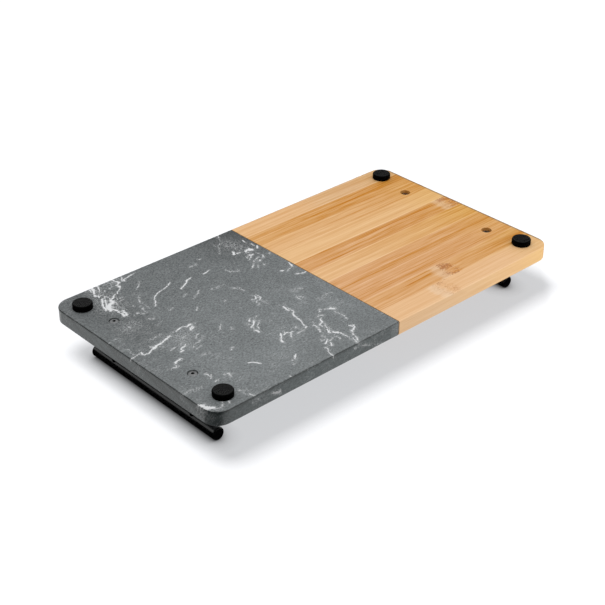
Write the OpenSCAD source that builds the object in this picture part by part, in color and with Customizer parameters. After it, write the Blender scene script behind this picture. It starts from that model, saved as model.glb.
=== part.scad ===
// Serving board, half marble and half bamboo, with two bar handles, four rubber feet and hidden dowels.
// The board stands on its feet at z = 0. The origin is the centre of its outline on that plane.
// X runs along the board from the marble end to the bamboo end, Y across it and Z up to the handles.

/* [Board] */
// Length of the whole board
board_l = 364; // [300:1:480]
// Width of the board
board_w = 200; // [170:1:280]
// Thickness of the marble and of the bamboo
board_t = 12.5; // [11:0.5:20]
// Length of the marble, measured from its end of the board
marble_l = 182; // [120:1:220]
// Radius of the four outer corners, seen from above
corner_r = 13; // [4:0.5:24]
// Radius of the eased edges
edge_r = 1; // [0.4:0.1:2]
// Number of bamboo strips side by side
strip_n = 10; // [8:1:12]

/* [Dowels] */
// Diameter of a dowel across the joint
dowel_d = 6; // [4:0.5:7]
// Length of a dowel, half of it on each side of the joint
dowel_l = 40; // [24:1:60]
// Number of dowels, spread evenly over the width of the board
dowel_n = 4; // [3:1:6]
// Chamfer round each end of a dowel
dowel_chamfer = 0.8; // [0.2:0.1:1.5]
// Room around a dowel for glue
dowel_fit = 0.1; // [0:0.05:0.3]
// Room past each end of a dowel
dowel_end_fit = 0.5; // [0.2:0.1:2]

/* [Handles] */
// Diameter of a handle bar
bar_d = 10.5; // [8:0.5:14]
// Length of a handle bar
bar_l = 151; // [120:1:190]
// Radius round the ends of a handle bar
bar_end_r = 1.2; // [0.4:0.1:3]
// Height of a handle, from the board to the far side of its bar
handle_h = 32.5; // [28:0.5:45]
// Distance between the two screws of a handle
screw_spacing = 96; // [64:1:112]
// Distance from a short end of the board to the middle of its handle
handle_inset = 22; // [14:0.5:40]
// Diameter of a handle post
post_d = 8; // [7:0.5:9]
// Diameter of the spigot at the end of a post
spigot_d = 5; // [3:0.5:6]
// Depth of the spigot in the bar, from the middle of the bar's near side
spigot_l = 4; // [2:0.5:6]
// Room around and past the spigot in its socket
spigot_fit = 0.05; // [0.05:0.05:0.2]

/* [Screws] */
// Thread diameter of a handle screw
screw_d = 4; // [3:0.5:5]
// Diameter of a screw's low head
head_d = 7.6; // [6:0.1:8]
// Height of a screw's head
head_h = 2.2; // [1.5:0.1:2.3]
// Radius of the slight dome on a screw's head
head_dome_r = 14; // [4.2:0.1:20]
// Width across the flats of the hexagon socket
socket_w = 2.5; // [1.5:0.5:3]
// Depth of the hexagon socket
socket_depth = 1.3; // [0.8:0.1:1.6]
// Depth of a screw in the post, at the marble end
screw_grip = 9.9; // [6:0.1:12]
// Room around the thread in the post
thread_fit = 0.1; // [0.05:0.05:0.2]
// Room past the tip of the deepest screw
tip_fit = 1; // [0.5:0.1:3]
// Diameter of the screw hole through the board
hole_d = 4.6; // [4.2:0.1:5.6]
// Diameter of the recess for a screw head in the marble
marble_recess_d = 8.4; // [8.1:0.1:12]
// Depth of that recess
marble_recess = 2.4; // [2.3:0.1:5]
// Diameter of the recess for a screw head in the bamboo
bamboo_recess_d = 9; // [8.1:0.1:12]
// Depth of that recess
bamboo_recess = 4.4; // [2.3:0.1:6]

/* [Feet] */
// Diameter of a rubber foot
foot_d = 16; // [10:0.5:24]
// Height of the rubber alone
foot_h = 4.7; // [3:0.1:10]
// Radius round the bottom edge of a foot
foot_edge_r = 1.2; // [0.4:0.1:2.5]
// Distance from a short end of the board to the middle of a foot
foot_inset_x = 18; // [13:0.5:40]
// Distance from a long side of the board to the middle of a foot
foot_inset_y = 17.5; // [13:0.5:40]
// Diameter of the adhesive disc under a foot
adhesive_d = 14.6; // [8:0.1:15]
// Thickness of the adhesive disc
adhesive_t = 0.3; // [0.2:0.1:1]

/* [Hidden] */
$fn = 96;
// A little extra so that cuts pass right through
over = 1;

underside_z = foot_h + adhesive_t;
top_z = underside_z + board_t;
joint_x = marble_l - board_l / 2;
handle_x = board_l / 2 - handle_inset;
bar_z = top_z + handle_h - bar_d / 2;
strip_w = board_w / strip_n;
// How much rounder the marble's corners at the joint are than its edges
joint_corner_share = 1.4;
joint_corner_r = joint_corner_share * edge_r;

// Screw length that gives the wanted grip at the marble end, and the bore that takes it at both ends
screw_l = board_t - marble_recess + screw_grip;
post_bore = screw_l - board_t + max(marble_recess, bamboo_recess) + tip_fit;

// The ends and sides of the board, by name: -1 is the marble end and the front
ENDS = [["marble", -1], ["bamboo", 1]];
SIDES = [["front", -1], ["back", 1]];
CORNERS = [for (e = ENDS) for (s = SIDES) [str(e[0], "_", s[0]), e[1], s[1]]];
dowel_ys = [for (i = [1 : dowel_n]) ((i - 0.5) / dowel_n - 0.5) * board_w];

// The feet are stuck on by hand, so each sits a few millimetres off its nominal place, in the order of CORNERS
foot_shifts = [[-2.8, 2.8], [2.6, 1.4], [1.5, -1], [-0.5, 0.7]];

// Outline of a plate seen from its end, all four corners eased
module eased_section(w) {
    translate([-w / 2 + edge_r, 0]) square([w - 2 * edge_r, board_t]);
    translate([-w / 2, edge_r]) square([w, board_t - 2 * edge_r]);
    for (x = [-w / 2 + edge_r, w / 2 - edge_r]) {
        for (z = [edge_r, board_t - edge_r]) translate([x, z]) circle(edge_r);
    }
}

// A round puck with eased edges that makes one corner of a plate
module eased_puck(r) {
    rotate_extrude() intersection() {
        eased_section(2 * r);
        square([r + over, board_t]);
    }
}

// A plate from xa to xb on the board's thickness, its corners rounded with ra at xa and rb at xb
module eased_plate(xa, xb, ra, rb) {
    middle = (xa + xb) / 2;
    translate([xa + ra, 0, 0]) rotate([90, 0, 90]) linear_extrude(xb - rb - xa - ra) eased_section(board_w);
    intersection() {
        for (r = [ra, rb]) {
            translate([middle, board_w / 2 - r, 0]) rotate([90, 0, 0])
                linear_extrude(board_w - 2 * r) eased_section(xb - xa);
        }
        union() {
            translate([xa - over, -board_w / 2 + ra, -over])
                cube([middle - xa + over, board_w - 2 * ra, board_t + 2 * over]);
            translate([middle, -board_w / 2 + rb, -over])
                cube([xb - middle + over, board_w - 2 * rb, board_t + 2 * over]);
        }
    }
    for (s = [-1, 1]) {
        translate([xa + ra, s * (board_w / 2 - ra), 0]) eased_puck(ra);
        translate([xb - rb, s * (board_w / 2 - rb), 0]) eased_puck(rb);
    }
}

// Screw hole with its head recess, opening at the underside
module screw_hole(recess_d, recess) {
    translate([0, 0, -over]) cylinder(d = hole_d, h = board_t + 2 * over);
    translate([0, 0, -over]) cylinder(d = recess_d, h = recess + over);
}

// Blind dowel holes on both sides of the joint
module dowel_holes() {
    depth = dowel_l / 2 + dowel_end_fit;
    for (y = dowel_ys) {
        translate([joint_x - depth, y, board_t / 2]) rotate([0, 90, 0])
            cylinder(d = dowel_d + 2 * dowel_fit, h = 2 * depth);
    }
}

module marble_slab() {
    color([0.44, 0.46, 0.47])
    translate([0, 0, underside_z]) difference() {
        eased_plate(-board_l / 2, joint_x, corner_r, joint_corner_r);
        dowel_holes();
        for (s = SIDES) {
            translate([-handle_x, s[1] * screw_spacing / 2, 0]) screw_hole(marble_recess_d, marble_recess);
        }
    }
}

// Strip i of the bamboo half, counted from the front
module bamboo_strip(i) {
    tones = [[0.88, 0.69, 0.46], [0.80, 0.58, 0.35], [0.85, 0.64, 0.41]];
    color(tones[i % 3])
    translate([0, 0, underside_z]) difference() {
        intersection() {
            eased_plate(-board_l / 2, board_l / 2, corner_r, corner_r);
            translate([joint_x, -board_w / 2 + i * strip_w, -over])
                cube([board_l, strip_w, board_t + 2 * over]);
        }
        dowel_holes();
        for (s = SIDES) {
            translate([handle_x, s[1] * screw_spacing / 2, 0]) screw_hole(bamboo_recess_d, bamboo_recess);
        }
    }
}

module joint_dowel(i) {
    end_r = dowel_d / 2 - dowel_chamfer;
    color([0.86, 0.74, 0.56])
    translate([joint_x - dowel_l / 2, dowel_ys[i], underside_z + board_t / 2]) rotate([0, 90, 0]) rotate_extrude()
        polygon([
            [0, 0], [end_r, 0], [dowel_d / 2, dowel_chamfer],
            [dowel_d / 2, dowel_l - dowel_chamfer], [end_r, dowel_l], [0, dowel_l]
        ]);
}

// Round bar along Y with rounded ends, and a socket for the spigot of each post
module handle_bar(end) {
    socket_top = -bar_d / 2 + spigot_l + spigot_fit;
    color([0.07, 0.07, 0.07])
    translate([end * handle_x, 0, bar_z]) difference() {
        rotate([90, 0, 0]) rotate_extrude() {
            translate([0, -bar_l / 2]) square([bar_d / 2 - bar_end_r, bar_l]);
            translate([0, -bar_l / 2 + bar_end_r]) square([bar_d / 2, bar_l - 2 * bar_end_r]);
            intersection() {
                for (s = [-1, 1]) translate([bar_d / 2 - bar_end_r, s * (bar_l / 2 - bar_end_r)]) circle(bar_end_r);
                translate([0, -bar_l]) square([bar_d, 2 * bar_l]);
            }
        }
        for (s = SIDES) {
            translate([0, s[1] * screw_spacing / 2, -bar_d])
                cylinder(d = spigot_d + 2 * spigot_fit, h = bar_d + socket_top);
        }
    }
}

// Post with a saddle end that fits round the bar, a spigot in the bar and a bore for the screw
module handle_post(end, side) {
    color([0.07, 0.07, 0.07])
    translate([end * handle_x, side * screw_spacing / 2, top_z]) difference() {
        union() {
            difference() {
                cylinder(d = post_d, h = handle_h - bar_d / 2);
                translate([0, 0, handle_h - bar_d / 2]) rotate([90, 0, 0])
                    cylinder(d = bar_d, h = 2 * post_d, center = true);
            }
            cylinder(d = spigot_d, h = handle_h - bar_d + spigot_l);
        }
        translate([0, 0, -over]) cylinder(d = screw_d + 2 * thread_fit, h = post_bore + over);
    }
}

// Screw with a slightly domed head below the board and its shank up in the post
module handle_screw(end, side) {
    recess = end < 0 ? marble_recess : bamboo_recess;
    color([0.35, 0.35, 0.36])
    translate([end * handle_x, side * screw_spacing / 2, underside_z + recess]) difference() {
        union() {
            cylinder(d = screw_d, h = screw_l);
            mirror([0, 0, 1]) rotate_extrude() intersection() {
                square([head_d / 2, head_h]);
                translate([0, head_h - head_dome_r]) circle(head_dome_r);
            }
        }
        translate([0, 0, -head_h - over]) linear_extrude(socket_depth + over)
            circle(d = socket_w / cos(30), $fn = 6);
    }
}

// Place of a foot, from the nominal insets and its own small shift
function foot_place(i) = [
    CORNERS[i][1] * (board_l / 2 - foot_inset_x) + foot_shifts[i][0],
    CORNERS[i][2] * (board_w / 2 - foot_inset_y) + foot_shifts[i][1],
    0
];

module rubber_foot(i) {
    color([0.1, 0.1, 0.1])
    translate(foot_place(i)) rotate_extrude() {
        square([foot_d / 2 - foot_edge_r, foot_h]);
        translate([0, foot_edge_r]) square([foot_d / 2, foot_h - foot_edge_r]);
        translate([foot_d / 2 - foot_edge_r, foot_edge_r]) circle(foot_edge_r);
    }
}

module foot_adhesive(i) {
    color([0.75, 0.74, 0.7])
    translate(foot_place(i) + [0, 0, foot_h]) cylinder(d = adhesive_d, h = adhesive_t);
}

marble_slab();
for (i = [0 : strip_n - 1]) {
    bamboo_strip(i);
}
for (i = [0 : len(dowel_ys) - 1]) {
    joint_dowel(i);
}
for (e = ENDS) {
    handle_bar(e[1]);
}
for (c = CORNERS) {
    handle_post(c[1], c[2]);
    handle_screw(c[1], c[2]);
}
for (i = [0 : len(CORNERS) - 1]) {
    rubber_foot(i);
    foot_adhesive(i);
}
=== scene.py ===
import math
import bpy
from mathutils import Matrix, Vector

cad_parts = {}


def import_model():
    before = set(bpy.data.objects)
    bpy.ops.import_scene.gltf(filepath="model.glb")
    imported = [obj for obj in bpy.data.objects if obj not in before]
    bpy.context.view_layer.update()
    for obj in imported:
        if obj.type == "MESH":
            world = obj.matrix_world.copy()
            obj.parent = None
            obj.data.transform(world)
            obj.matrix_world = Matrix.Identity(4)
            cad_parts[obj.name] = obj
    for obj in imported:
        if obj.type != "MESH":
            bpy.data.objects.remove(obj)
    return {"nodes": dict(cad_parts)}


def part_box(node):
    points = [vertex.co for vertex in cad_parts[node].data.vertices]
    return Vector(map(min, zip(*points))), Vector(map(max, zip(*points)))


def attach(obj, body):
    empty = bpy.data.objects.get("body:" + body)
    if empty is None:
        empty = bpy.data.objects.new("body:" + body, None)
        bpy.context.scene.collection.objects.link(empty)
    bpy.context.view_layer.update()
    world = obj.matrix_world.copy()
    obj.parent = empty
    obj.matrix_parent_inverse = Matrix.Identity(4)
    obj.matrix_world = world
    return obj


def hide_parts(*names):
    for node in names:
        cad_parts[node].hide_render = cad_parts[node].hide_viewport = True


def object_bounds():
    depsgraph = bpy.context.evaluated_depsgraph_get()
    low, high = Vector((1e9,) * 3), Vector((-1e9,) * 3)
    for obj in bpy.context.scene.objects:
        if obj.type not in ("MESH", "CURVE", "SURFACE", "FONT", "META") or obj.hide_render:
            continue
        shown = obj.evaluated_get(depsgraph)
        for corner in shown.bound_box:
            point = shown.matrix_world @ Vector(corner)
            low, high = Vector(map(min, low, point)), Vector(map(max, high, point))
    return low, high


bl_info = {
    "name": "Marble and Bamboo Board",
    "version": (1, 0, 0),
    "blender": (4, 5, 0),
    "location": "View3D > Sidebar > Board",
    "description": "Finishes the pieces of a half marble, half bamboo serving board and sets its studio",
    "category": "Object",
}

import bmesh
import bpy
from bpy.props import FloatProperty, FloatVectorProperty, IntProperty, PointerProperty
from mathutils import Matrix, Vector

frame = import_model()
cad_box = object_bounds()

MM = 0.001
BODY = "root"
CORNERS = ("marble_front", "marble_back", "bamboo_front", "bamboo_back")
STRIPS = [name for name in frame["nodes"] if name.startswith("bamboo_strip_")]
DOWELS = sorted(name for name in frame["nodes"] if name.startswith("joint_dowel_"))
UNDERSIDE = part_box("marble_slab")[0].z
FACE_Z = UNDERSIDE / MM
TOP_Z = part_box("marble_slab")[1].z / MM
END_X, SIDE_Y = cad_box[1].x / MM, cad_box[1].y / MM
STRIP_WIDTH = 20.0

# Veins of the marble on the underside. Each is a strength in hundredths and a line of points, which are
# x, y and half width in tenths of a millimetre. Lines past x = -1820 or y = 1000 come out on the rims,
# because the veins run through the slab on a slant.
VEINS = (
    # the white fan beside the foot at the marble's front corner
    (100, (-1445, -1010, 18), (-1450, -970, 22), (-1465, -935, 20), (-1485, -900, 16)),
    (85, (-1400, -1010, 24), (-1405, -970, 20), (-1415, -935, 16), (-1430, -920, 10)),
    (80, (-1485, -900, 15), (-1496, -873, 17), (-1480, -853, 15), (-1486, -833, 12)),
    (75, (-1486, -943, 12), (-1473, -982, 14)),
    (50, (-1425, -915, 12), (-1450, -890, 12), (-1470, -865, 10)),
    (45, (-1395, -893, 10), (-1435, -862, 12), (-1450, -830, 12)),
    (100, (-1483, -802, 14), (-1502, -773, 14), (-1516, -743, 15), (-1536, -715, 17), (-1550, -680, 18),
     (-1558, -640, 15)),
    (80, (-1446, -825, 12), (-1458, -790, 14), (-1478, -760, 16), (-1493, -740, 16)),
    (75, (-1436, -805, 12), (-1432, -770, 14), (-1448, -745, 16)),
    (100, (-1446, -738, 26), (-1444, -710, 30), (-1473, -697, 32), (-1505, -680, 36), (-1525, -650, 44),
     (-1533, -615, 24)),
    (90, (-1493, -740, 12), (-1510, -705, 16), (-1535, -665, 24)),
    (90, (-1515, -625, 20), (-1500, -595, 17), (-1497, -550, 16), (-1495, -515, 18), (-1500, -485, 24)),
    (85, (-1460, -560, 12), (-1468, -530, 15), (-1473, -500, 18), (-1480, -480, 24)),
    (55, (-1482, -550, 20), (-1484, -490, 24)),
    (45, (-1464, -558, 9), (-1445, -540, 9), (-1432, -553, 7)),
    (85, (-1434, -748, 14), (-1410, -755, 14), (-1392, -770, 14), (-1383, -788, 13), (-1360, -798, 9)),
    (50, (-1388, -770, 9), (-1388, -735, 9), (-1402, -710, 9), (-1426, -697, 10), (-1440, -675, 10),
     (-1448, -643, 9)),
    (75, (-1345, -790, 10), (-1320, -814, 10), (-1295, -830, 9), (-1280, -843, 12)),
    (90, (-1278, -845, 15), (-1270, -868, 20), (-1272, -894, 18), (-1256, -903, 15)),
    (95, (-1253, -905, 14), (-1234, -923, 19), (-1244, -950, 13), (-1250, -990, 11)),
    (50, (-1343, -893, 14), (-1313, -910, 16)),
    (62, (-1292, -945, 13), (-1280, -956, 14)),
    (45, (-1372, -713, 9), (-1352, -716, 9), (-1348, -694, 8), (-1362, -679, 8), (-1380, -686, 8)),
    (80, (-1190, -913, 14), (-1173, -935, 15), (-1130, -942, 11), (-1080, -956, 8), (-1040, -960, 6)),
    (60, (-1196, -920, 11), (-1195, -940, 11), (-1180, -957, 11), (-1169, -983, 9)),
    (60, (-1395, -325, 10), (-1363, -298, 11)),
    (50, (-1450, -436, 9), (-1420, -434, 9), (-1400, -448, 9), (-1383, -420, 10), (-1370, -398, 8)),
    (45, (-1366, -553, 10), (-1356, -570, 10)),
    # crumbled patches in the fan and beside it
    (38, (-1450, -980, 50), (-1460, -880, 45), (-1460, -780, 60), (-1490, -680, 70), (-1490, -600, 40)),
    (34, (-1310, -970, 35), (-1220, -980, 30)),
    (20, (-1600, -320, 24), (-1540, -330, 28)),
    (22, (-190, -820, 34), (-160, -710, 38)),
    # long thin lines of the front half
    (65, (-1200, -733, 7), (-1170, -760, 9), (-1145, -776, 9), (-1125, -800, 9), (-1107, -822, 7)),
    (80, (-1239, -436, 9), (-1205, -480, 11), (-1188, -500, 9), (-1180, -528, 9), (-1155, -550, 8),
     (-1130, -570, 8), (-1100, -584, 8), (-1060, -593, 9), (-1010, -603, 10), (-960, -630, 9),
     (-930, -648, 6)),
    (50, (-1296, -557, 8), (-1280, -585, 9), (-1269, -607, 8), (-1237, -650, 7)),
    (40, (-1346, -400, 8), (-1342, -450, 8), (-1320, -520, 7)),
    (36, (-1290, -450, 6), (-1285, -540, 6)),
    (100, (-925, -510, 13), (-880, -533, 11), (-840, -557, 11), (-808, -583, 13), (-760, -593, 8)),
    (85, (-650, -572, 11), (-620, -572, 11), (-570, -590, 6)),
    (60, (-532, -782, 10), (-516, -776, 9)),
    (40, (-660, -730, 8), (-615, -724, 10), (-593, -738, 7)),
    (50, (-985, -398, 8), (-940, -420, 8)),
    (60, (-945, -325, 8), (-900, -355, 8), (-870, -370, 9), (-838, -398, 6)),
    (45, (-750, -340, 8), (-700, -333, 10), (-645, -327, 8)),
    (55, (-475, -495, 7), (-470, -455, 9), (-440, -430, 9), (-410, -418, 14), (-390, -433, 9)),
    # the broken cluster along the joint
    (60, (-160, -995, 9), (-166, -965, 9), (-185, -940, 9), (-196, -918, 8)),
    (40, (-186, -993, 8), (-180, -968, 8)),
    (60, (-206, -879, 9), (-227, -852, 10)),
    (52, (-235, -872, 8), (-250, -855, 10), (-278, -838, 8)),
    (36, (-280, -887, 8), (-290, -860, 8)),
    (42, (-283, -823, 8), (-296, -788, 8)),
    (48, (-320, -772, 9), (-340, -738, 9)),
    (42, (-183, -792, 9), (-160, -776, 10), (-144, -792, 9)),
    (42, (-200, -702, 8), (-183, -734, 8)),
    (100, (-260, -652, 19), (-240, -686, 16)),
    (80, (-233, -644, 17), (-206, -639, 15)),
    (100, (-158, -626, 20), (-130, -630, 26), (-104, -614, 30)),
    (65, (-113, -660, 12), (-106, -630, 15)),
    (55, (-172, -602, 14), (-148, -588, 15)),
    (80, (-53, -783, 10), (-64, -738, 13)),
    (50, (-43, -693, 10), (-41, -652, 11)),
    (90, (-47, -602, 13), (-27, -628, 13)),
    (90, (-177, -557, 12), (-162, -540, 18), (-146, -546, 13)),
    (55, (-222, -528, 10), (-198, -556, 10)),
    (62, (-228, -496, 9), (-195, -510, 11), (-178, -533, 10)),
    (48, (-110, -548, 9), (-98, -522, 9)),
    (60, (-193, -463, 9), (-160, -475, 10), (-134, -481, 9)),
    (68, (-126, -458, 11), (-100, -464, 13), (-94, -488, 10)),
    (55, (-147, -442, 8), (-98, -449, 9)),
    (60, (-192, -418, 14), (-163, -436, 18)),
    (60, (-298, -378, 9), (-255, -410, 9), (-230, -440, 9), (-213, -457, 9)),
    (42, (-262, -348, 8), (-233, -377, 8)),
    (60, (-193, -350, 12), (-177, -360, 12)),
    (55, (-37, -458, 9), (-19, -477, 9)),
    (90, (-158, -186, 14), (-138, -176, 15)),
    (60, (-123, -146, 9), (-95, -163, 9), (-60, -170, 8)),
    (100, (-42, -180, 16), (-30, -200, 14), (-20, -240, 8)),
    (75, (-96, -64, 13), (-68, -54, 12), (-40, -38, 10), (-8, -42, 8)),
    # the bright bar and the ring of the marble's short side
    (62, (-1830, 36, 8), (-1780, 29, 10), (-1725, 24, 10)),
    (95, (-1710, 16, 13), (-1718, 36, 15), (-1712, 54, 14)),
    (85, (-1710, 56, 12), (-1680, 63, 14), (-1650, 47, 11), (-1629, 32, 9)),
    (80, (-1618, -2, 12), (-1606, 12, 14)),
    (100, (-1609, 34, 24), (-1583, 21, 22), (-1540, 15, 17), (-1505, 9, 16), (-1485, -3, 16),
     (-1445, -11, 19), (-1420, -19, 26)),
    (55, (-1543, -68, 10), (-1515, -83, 11), (-1496, -84, 10)),
    (50, (-1480, -73, 10), (-1460, -89, 11)),
    (36, (-1580, -64, 9), (-1560, -82, 9)),
    (55, (-1387, -42, 9), (-1363, -46, 9)),
    (85, (-1346, -37, 12), (-1325, -50, 13), (-1300, -53, 14), (-1270, -60, 15), (-1252, -49, 13)),
    (85, (-1249, -33, 12), (-1230, -40, 15), (-1202, -49, 15)),
    (45, (-1190, -40, 8), (-1165, -38, 8)),
    (85, (-1247, 14, 14), (-1233, -3, 17), (-1208, -14, 12)),
    (85, (-1236, 19, 14), (-1210, 1, 14)),
    (50, (-1249, 40, 9), (-1250, 10, 10)),
    (50, (-1373, 26, 9), (-1356, 40, 12), (-1348, 24, 9)),
    (45, (-1383, 90, 11), (-1350, 76, 15), (-1318, 54, 12)),
    (32, (-1350, 50, 40), (-1410, 140, 35)),
    (55, (-1539, 144, 9), (-1515, 132, 11), (-1490, 128, 9)),
    (75, (-1470, 184, 12), (-1450, 170, 17), (-1423, 164, 20), (-1406, 148, 14)),
    (95, (-1489, 206, 13), (-1464, 202, 15)),
    (62, (-1313, 190, 8), (-1280, 175, 10), (-1253, 162, 12), (-1238, 148, 10)),
    (45, (-1390, 222, 8), (-1350, 196, 9), (-1310, 186, 8)),
    (42, (-1293, 132, 8), (-1270, 115, 8), (-1246, 103, 8)),
    (42, (-1385, 247, 9), (-1330, 240, 9)),
    (85, (-1618, 304, 10), (-1602, 288, 12), (-1570, 282, 15), (-1552, 280, 17)),
    (50, (-1639, 343, 9), (-1626, 310, 9), (-1618, 300, 8)),
    (58, (-1703, 324, 8), (-1680, 336, 9), (-1656, 334, 11), (-1644, 348, 11)),
    (50, (-1624, 350, 11), (-1614, 342, 10)),
    (45, (-1760, -83, 7), (-1763, -40, 8), (-1777, 3, 7)),
    (55, (-1820, -246, 6), (-1770, -246, 6), (-1743, -262, 8)),
    (40, (-1558, 68, 8), (-1540, 58, 9)),
    (38, (-1393, 345, 9), (-1340, 362, 9)),
    # flecks and short strokes of the middle
    (55, (-1198, -308, 7), (-1160, -324, 8)),
    (50, (-1043, -170, 10), (-1028, -186, 9), (-1002, -208, 7)),
    (70, (-794, -130, 9), (-776, -139, 9)),
    (50, (-618, -236, 14), (-605, -228, 12), (-584, -200, 14), (-581, -150, 8)),
    (62, (-572, -45, 11), (-553, -35, 11), (-546, -5, 9), (-552, 20, 9)),
    (80, (-593, 4, 15), (-575, -10, 14), (-572, -35, 10)),
    (80, (-584, 42, 12), (-566, 32, 12), (-550, 16, 11)),
    (60, (-568, -4, 10), (-556, 8, 10)),
    (60, (-623, -3, 12), (-610, 15, 13), (-624, 24, 10)),
    (42, (-627, 56, 10), (-600, 36, 10)),
    (40, (-634, 93, 9), (-615, 73, 9)),
    (50, (-578, 74, 12), (-559, 88, 12)),
    (42, (-568, 108, 10), (-570, 130, 9)),
    (75, (-845, 225, 11), (-832, 208, 16), (-816, 194, 14)),
    (95, (-848, 278, 12), (-832, 260, 18), (-814, 240, 14)),
    (60, (-800, 243, 10), (-789, 218, 11), (-768, 212, 9), (-750, 202, 7)),
    (62, (-786, 266, 13), (-768, 270, 11)),
    (45, (-885, 236, 11), (-875, 262, 13)),
    (85, (-886, 298, 16), (-865, 292, 16), (-845, 276, 11)),
    (65, (-877, 305, 10), (-888, 338, 11)),
    (80, (-904, 354, 10), (-890, 354, 12), (-886, 388, 14)),
    (75, (-859, 354, 9), (-844, 320, 10), (-825, 302, 10), (-798, 286, 9)),
    (45, (-1016, 217, 10), (-1002, 202, 9)),
    (90, (-510, 243, 11), (-518, 290, 13), (-516, 315, 9)),
    (55, (-497, 278, 8), (-498, 348, 10)),
    (88, (-500, 350, 9), (-525, 368, 9), (-537, 395, 15), (-543, 430, 11), (-545, 475, 13), (-556, 505, 9),
     (-567, 525, 11), (-573, 552, 11)),
    (60, (-340, 242, 11), (-340, 215, 13), (-325, 200, 12)),
    (55, (-316, 210, 10), (-308, 240, 12)),
    (36, (-300, 100, 9), (-293, 138, 9), (-273, 130, 9), (-263, 106, 8)),
    (40, (-243, 110, 12), (-220, 128, 12)),
    (36, (-240, 346, 10), (-150, 344, 11)),
    (42, (-133, 324, 11), (-103, 340, 11)),
    (45, (-1088, 167, 10), (-1076, 156, 8), (-1033, 110, 7)),
    (55, (-1202, 438, 7), (-1170, 413, 9)),
    # marks round the foot of the marble's back corner
    (65, (-1540, 550, 11), (-1534, 585, 12), (-1548, 620, 8), (-1513, 585, 7)),
    (60, (-1552, 676, 9), (-1528, 668, 11)),
    (32, (-1830, 645, 8), (-1720, 647, 8), (-1670, 662, 8), (-1720, 677, 7)),
    (60, (-1452, 649, 9), (-1410, 660, 13), (-1420, 693, 12)),
    (80, (-1220, 650, 8), (-1198, 660, 10), (-1178, 683, 9), (-1158, 717, 12)),
    (100, (-1822, 820, 16), (-1810, 840, 34), (-1802, 866, 38), (-1790, 886, 30), (-1755, 915, 20)),
    (20, (-1850, 870, 14), (-1835, 900, 16)),
    (50, (-1770, 920, 16), (-1740, 943, 16), (-1705, 946, 14), (-1680, 915, 16), (-1665, 890, 14)),
    (60, (-1643, 944, 12), (-1625, 915, 10)),
    (50, (-1492, 870, 8), (-1480, 900, 9), (-1495, 933, 9), (-1468, 900, 7)),
    (55, (-1470, 958, 13), (-1458, 988, 10)),
    (75, (-963, 847, 10), (-928, 840, 13), (-903, 814, 12), (-888, 802, 7)),
    (40, (-993, 886, 8), (-975, 878, 8)),
    (90, (-852, 615, 13), (-840, 585, 14), (-823, 567, 16), (-805, 543, 14), (-782, 513, 8)),
    (90, (-774, 545, 12), (-755, 535, 15), (-738, 538, 15), (-723, 553, 12), (-698, 553, 10)),
    (60, (-754, 533, 10), (-748, 505, 9)),
    (95, (-724, 558, 14), (-740, 585, 16), (-755, 603, 13)),
    (62, (-644, 533, 13), (-633, 520, 12)),
    (55, (-693, 603, 9), (-660, 596, 11), (-625, 600, 11), (-600, 589, 10)),
    (80, (-593, 586, 11), (-580, 578, 14)),
    (90, (-1110, 980, 9), (-1108, 988, 8)),
    # the fork and the crooked ring towards the long back side
    (68, (-704, 1010, 12), (-695, 955, 9), (-674, 924, 15), (-663, 900, 13), (-669, 878, 10)),
    (85, (-627, 843, 13), (-606, 831, 13), (-578, 812, 9)),
    (75, (-611, 896, 12), (-599, 878, 12), (-594, 860, 9)),
    (50, (-624, 802, 11), (-613, 788, 10)),
    (50, (-606, 806, 10), (-590, 790, 11), (-568, 774, 10)),
    (50, (-590, 836, 9), (-550, 834, 10), (-528, 818, 9)),
    (45, (-634, 882, 9), (-620, 882, 9)),
    (58, (-502, 874, 9), (-500, 830, 10), (-498, 798, 10)),
    (42, (-583, 755, 8), (-548, 734, 8)),
    (100, (-504, 750, 22), (-494, 730, 28), (-483, 713, 17)),
    (68, (-476, 728, 10), (-458, 708, 11)),
    (60, (-483, 713, 11), (-470, 690, 11), (-460, 663, 10), (-443, 642, 9)),
    (95, (-476, 760, 13), (-472, 783, 20), (-453, 797, 17)),
    (68, (-448, 805, 13), (-444, 850, 11), (-438, 880, 15), (-442, 910, 15)),
    (55, (-442, 1010, 15), (-440, 970, 15), (-425, 928, 15)),
    (75, (-422, 972, 11), (-403, 945, 12), (-394, 910, 13), (-381, 877, 13)),
    (50, (-385, 880, 11), (-364, 858, 11)),
    (85, (-360, 846, 14), (-335, 838, 19), (-310, 820, 20), (-297, 800, 12)),
    (75, (-315, 810, 13), (-324, 780, 11)),
    (80, (-550, 697, 11), (-536, 676, 13), (-522, 658, 11)),
    (62, (-522, 640, 16), (-514, 615, 18), (-522, 593, 12)),
    (62, (-487, 658, 13), (-480, 623, 16), (-455, 610, 15), (-443, 608, 13)),
    (90, (-442, 612, 13), (-433, 590, 13), (-424, 570, 11), (-407, 559, 9)),
    (60, (-426, 536, 11), (-400, 520, 14), (-384, 536, 15), (-368, 540, 11)),
    (50, (-496, 583, 9), (-490, 563, 9)),
    (80, (-350, 486, 12), (-332, 464, 14), (-310, 478, 11), (-278, 498, 10), (-250, 514, 24),
     (-238, 530, 18)),
    (65, (-263, 540, 11), (-268, 580, 11), (-260, 620, 14), (-255, 650, 16), (-266, 680, 13),
     (-272, 710, 7)),
    # what only the rims show
    (85, (-1330, 1028, 7), (-1290, 1031, 11), (-1250, 1036, 12)),
    (50, (-1500, 1022, 8), (-1410, 1020, 7)),
    (55, (-500, 1016, 5), (-410, 1024, 5), (-320, 1044, 6), (-240, 1062, 6)),
    (70, (-1845, -885, 14), (-1870, -905, 12)),
)

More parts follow.
